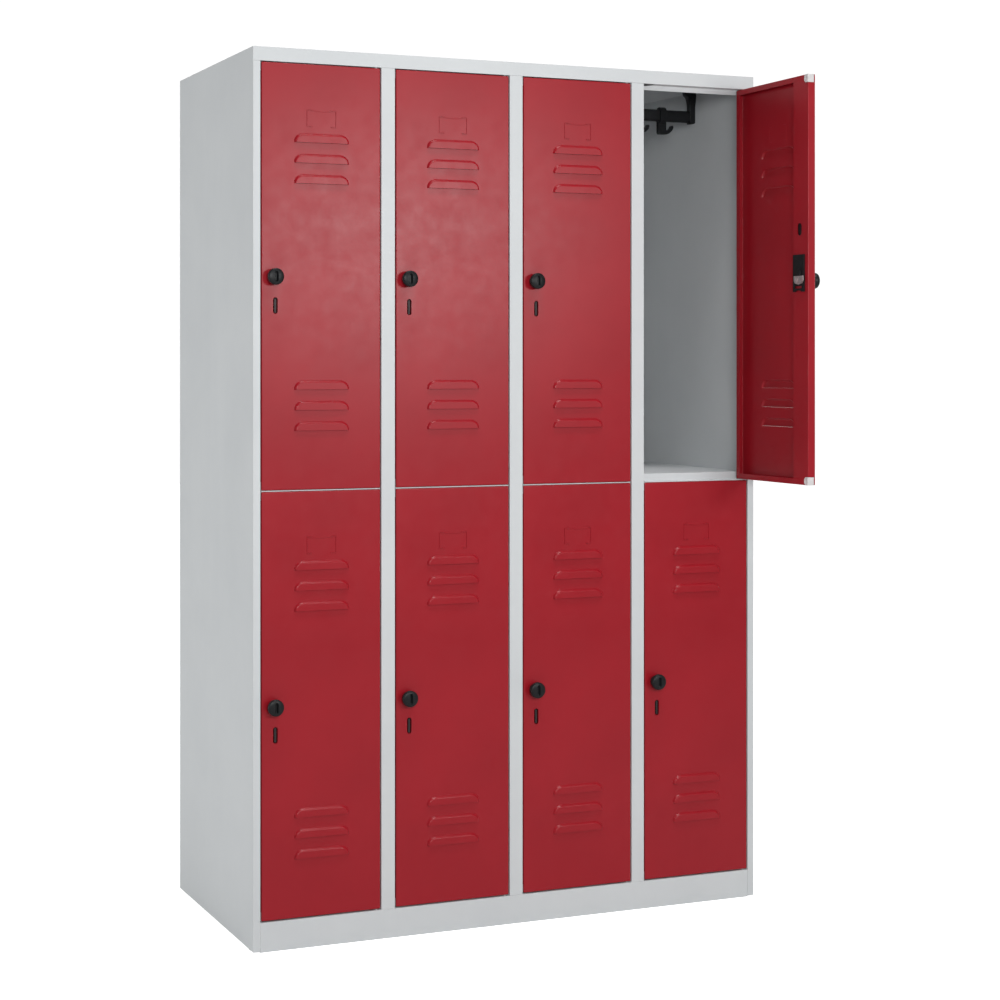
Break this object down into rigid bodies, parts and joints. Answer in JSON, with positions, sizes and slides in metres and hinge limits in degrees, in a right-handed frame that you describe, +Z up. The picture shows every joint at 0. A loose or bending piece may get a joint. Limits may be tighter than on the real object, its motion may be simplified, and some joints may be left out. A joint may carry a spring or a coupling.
{
  "type": "school locker",
  "caption": "Steel school locker: light grey carcass of stacked compartments, red louvred hinged doors with turn-knob padlock latches, and coat rails with sliding hooks.",
  "frame": {"origin": "on the floor, at the middle of the carcass footprint", "axes": "+Z up, +Y from the door side towards the wall behind, +X to the right when facing the doors"},
  "size_m": [1.2033, 0.75, 1.85],
  "materials": {
    "carcass_paint": "light grey fine-textured powder coat, satin",
    "door_paint": "ruby red powder coat, satin",
    "black_plastic": "black moulded plastic, lightly grained",
    "white_plastic": "white moulded plastic",
    "zinc_steel": "zinc-plated pressed steel"
  },
  "bodies": {
    "carcass": {"side_panel_left": "carcass_paint", "side_panel_right": "carcass_paint", "back_panel": "carcass_paint", "roof_panel": "carcass_paint", "base_plinth": "carcass_paint", "partition_1": "carcass_paint", "partition_2": "carcass_paint", "partition_3": "carcass_paint", "shelf_1": "carcass_paint", "shelf_2": "carcass_paint", "shelf_3": "carcass_paint", "shelf_4": "carcass_paint", "coat_rail": "black_plastic", "rail_bracket_left": "black_plastic", "rail_bracket_right": "black_plastic", "coat_rail_lower_1": "black_plastic", "coat_rail_upper_1": "black_plastic", "coat_rail_lower_2": "black_plastic", "coat_rail_upper_2": "black_plastic", "coat_rail_lower_3": "black_plastic", "coat_rail_upper_3": "black_plastic", "coat_rail_lower_4": "black_plastic"},
    "door_lower_1": {"door_lower_1": "door_paint"},
    "knob_lower_1": {"knob_lower_1": "black_plastic", "latch_cam_lower_1": "zinc_steel"},
    "hasp_lower_1": {"hasp_lower_1": "zinc_steel"},
    "door_upper_1": {"door_upper_1": "door_paint"},
    "knob_upper_1": {"knob_upper_1": "black_plastic", "latch_cam_upper_1": "zinc_steel"},
    "hasp_upper_1": {"hasp_upper_1": "zinc_steel"},
    "door_lower_2": {"door_lower_2": "door_paint"},
    "knob_lower_2": {"knob_lower_2": "black_plastic", "latch_cam_lower_2": "zinc_steel"},
    "hasp_lower_2": {"hasp_lower_2": "zinc_steel"},
    "door_upper_2": {"door_upper_2": "door_paint"},
    "knob_upper_2": {"knob_upper_2": "black_plastic", "latch_cam_upper_2": "zinc_steel"},
    "hasp_upper_2": {"hasp_upper_2": "zinc_steel"},
    "door_lower_3": {"door_lower_3": "door_paint"},
    "knob_lower_3": {"knob_lower_3": "black_plastic", "latch_cam_lower_3": "zinc_steel"},
    "hasp_lower_3": {"hasp_lower_3": "zinc_steel"},
    "door_upper_3": {"door_upper_3": "door_paint"},
    "knob_upper_3": {"knob_upper_3": "black_plastic", "latch_cam_upper_3": "zinc_steel"},
    "hasp_upper_3": {"hasp_upper_3": "zinc_steel"},
    "door_lower_4": {"door_lower_4": "door_paint"},
    "knob_lower_4": {"knob_lower_4": "black_plastic", "latch_cam_lower_4": "zinc_steel"},
    "hasp_lower_4": {"hasp_lower_4": "zinc_steel"},
    "door_upper_4": {"door_upper_4": "door_paint", "lock_case": "black_plastic", "buffer_top": "white_plastic", "buffer_bottom": "white_plastic"},
    "knob_upper_4": {"knob_upper_4": "black_plastic", "latch_cam_upper_4": "zinc_steel"},
    "hasp_upper_4": {"hasp_upper_4": "zinc_steel"},
    "coat_hook_1": {"coat_hook_1": "black_plastic"},
    "coat_hook_2": {"coat_hook_2": "black_plastic"},
    "coat_hook_3": {"coat_hook_3": "black_plastic"}
  },
  "joints": [
    {"name": "door_lower_1_hinge", "type": "hinge", "parent": "carcass", "child": "door_lower_1", "pos_m": [-0.325, -0.243, 0.0635], "axis": [0, 0, 1], "range_deg": [0, 105]},
    {"name": "knob_lower_1_turn", "type": "hinge", "parent": "door_lower_1", "child": "knob_lower_1", "pos_m": [-0.55625, -0.243, 0.5005], "axis": [0, -1, 0], "range_deg": [0, 90]},
    {"name": "hasp_lower_1_slide", "type": "slide", "parent": "door_lower_1", "child": "hasp_lower_1", "axis": [0, -1, 0], "range_m": [0, 0.013]},
    {"name": "door_upper_1_hinge", "type": "hinge", "parent": "carcass", "child": "door_upper_1", "pos_m": [-0.325, -0.243, 0.943], "axis": [0, 0, 1], "range_deg": [0, 105]},
    {"name": "knob_upper_1_turn", "type": "hinge", "parent": "door_upper_1", "child": "knob_upper_1", "pos_m": [-0.55625, -0.243, 1.38], "axis": [0, -1, 0], "range_deg": [0, 90]},
    {"name": "hasp_upper_1_slide", "type": "slide", "parent": "door_upper_1", "child": "hasp_upper_1", "axis": [0, -1, 0], "range_m": [0, 0.013]},
    {"name": "door_lower_2_hinge", "type": "hinge", "parent": "carcass", "child": "door_lower_2", "pos_m": [-0.025, -0.243, 0.0635], "axis": [0, 0, 1], "range_deg": [0, 105]},
    {"name": "knob_lower_2_turn", "type": "hinge", "parent": "door_lower_2", "child": "knob_lower_2", "pos_m": [-0.25625, -0.243, 0.5005], "axis": [0, -1, 0], "range_deg": [0, 90]},
    {"name": "hasp_lower_2_slide", "type": "slide", "parent": "door_lower_2", "child": "hasp_lower_2", "axis": [0, -1, 0], "range_m": [0, 0.013]},
    {"name": "door_upper_2_hinge", "type": "hinge", "parent": "carcass", "child": "door_upper_2", "pos_m": [-0.025, -0.243, 0.943], "axis": [0, 0, 1], "range_deg": [0, 105]},
    {"name": "knob_upper_2_turn", "type": "hinge", "parent": "door_upper_2", "child": "knob_upper_2", "pos_m": [-0.25625, -0.243, 1.38], "axis": [0, -1, 0], "range_deg": [0, 90]},
    {"name": "hasp_upper_2_slide", "type": "slide", "parent": "door_upper_2", "child": "hasp_upper_2", "axis": [0, -1, 0], "range_m": [0, 0.013]},
    {"name": "door_lower_3_hinge", "type": "hinge", "parent": "carcass", "child": "door_lower_3", "pos_m": [0.275, -0.243, 0.0635], "axis": [0, 0, 1], "range_deg": [0, 105]},
    {"name": "knob_lower_3_turn", "type": "hinge", "parent": "door_lower_3", "child": "knob_lower_3", "pos_m": [0.04375, -0.243, 0.5005], "axis": [0, -1, 0], "range_deg": [0, 90]},
    {"name": "hasp_lower_3_slide", "type": "slide", "parent": "door_lower_3", "child": "hasp_lower_3", "axis": [0, -1, 0], "range_m": [0, 0.013]},
    {"name": "door_upper_3_hinge", "type": "hinge", "parent": "carcass", "child": "door_upper_3", "pos_m": [0.275, -0.243, 0.943], "axis": [0, 0, 1], "range_deg": [0, 105]},
    {"name": "knob_upper_3_turn", "type": "hinge", "parent": "door_upper_3", "child": "knob_upper_3", "pos_m": [0.04375, -0.243, 1.38], "axis": [0, -1, 0], "range_deg": [0, 90]},
    {"name": "hasp_upper_3_slide", "type": "slide", "parent": "door_upper_3", "child": "hasp_upper_3", "axis": [0, -1, 0], "range_m": [0, 0.013]},
    {"name": "door_lower_4_hinge", "type": "hinge", "parent": "carcass", "child": "door_lower_4", "pos_m": [0.575, -0.243, 0.0635], "axis": [0, 0, 1], "range_deg": [0, 105]},
    {"name": "knob_lower_4_turn", "type": "hinge", "parent": "door_lower_4", "child": "knob_lower_4", "pos_m": [0.34375, -0.243, 0.5005], "axis": [0, -1, 0], "range_deg": [0, 90]},
    {"name": "hasp_lower_4_slide", "type": "slide", "parent": "door_lower_4", "child": "hasp_lower_4", "axis": [0, -1, 0], "range_m": [0, 0.013]},
    {"name": "door_upper_4_hinge", "type": "hinge", "parent": "carcass", "child": "door_upper_4", "pos_m": [0.575, -0.243, 0.943], "axis": [0, 0, 1], "range_deg": [-90, 15]},
    {"name": "knob_upper_4_turn", "type": "hinge", "parent": "door_upper_4", "child": "knob_upper_4", "pos_m": [0.575, -0.47425, 1.38], "axis": [1, 0, 0], "range_deg": [0, 90]},
    {"name": "hasp_upper_4_slide", "type": "slide", "parent": "door_upper_4", "child": "hasp_upper_4", "axis": [1, 0, 0], "range_m": [0, 0.013]},
    {"name": "coat_hook_1_slide", "type": "slide", "parent": "carcass", "child": "coat_hook_1", "axis": [1, 0, 0], "range_m": [-0.022, 0.012]},
    {"name": "coat_hook_2_slide", "type": "slide", "parent": "carcass", "child": "coat_hook_2", "axis": [1, 0, 0], "range_m": [-0.012, 0.012]},
    {"name": "coat_hook_3_slide", "type": "slide", "parent": "carcass", "child": "coat_hook_3", "axis": [1, 0, 0], "range_m": [-0.012, 0.04]}
  ],
  "couplings": [
    {"joint": "hasp_lower_1_slide", "follows": "knob_lower_1_turn", "m_per_rad": 0.00827},
    {"joint": "hasp_upper_1_slide", "follows": "knob_upper_1_turn", "m_per_rad": 0.00827},
    {"joint": "hasp_lower_2_slide", "follows": "knob_lower_2_turn", "m_per_rad": 0.00827},
    {"joint": "hasp_upper_2_slide", "follows": "knob_upper_2_turn", "m_per_rad": 0.00827},
    {"joint": "hasp_lower_3_slide", "follows": "knob_lower_3_turn", "m_per_rad": 0.00827},
    {"joint": "hasp_upper_3_slide", "follows": "knob_upper_3_turn", "m_per_rad": 0.00827},
    {"joint": "hasp_lower_4_slide", "follows": "knob_lower_4_turn", "m_per_rad": 0.00827},
    {"joint": "hasp_upper_4_slide", "follows": "knob_upper_4_turn", "m_per_rad": 0.00827}
  ]
}
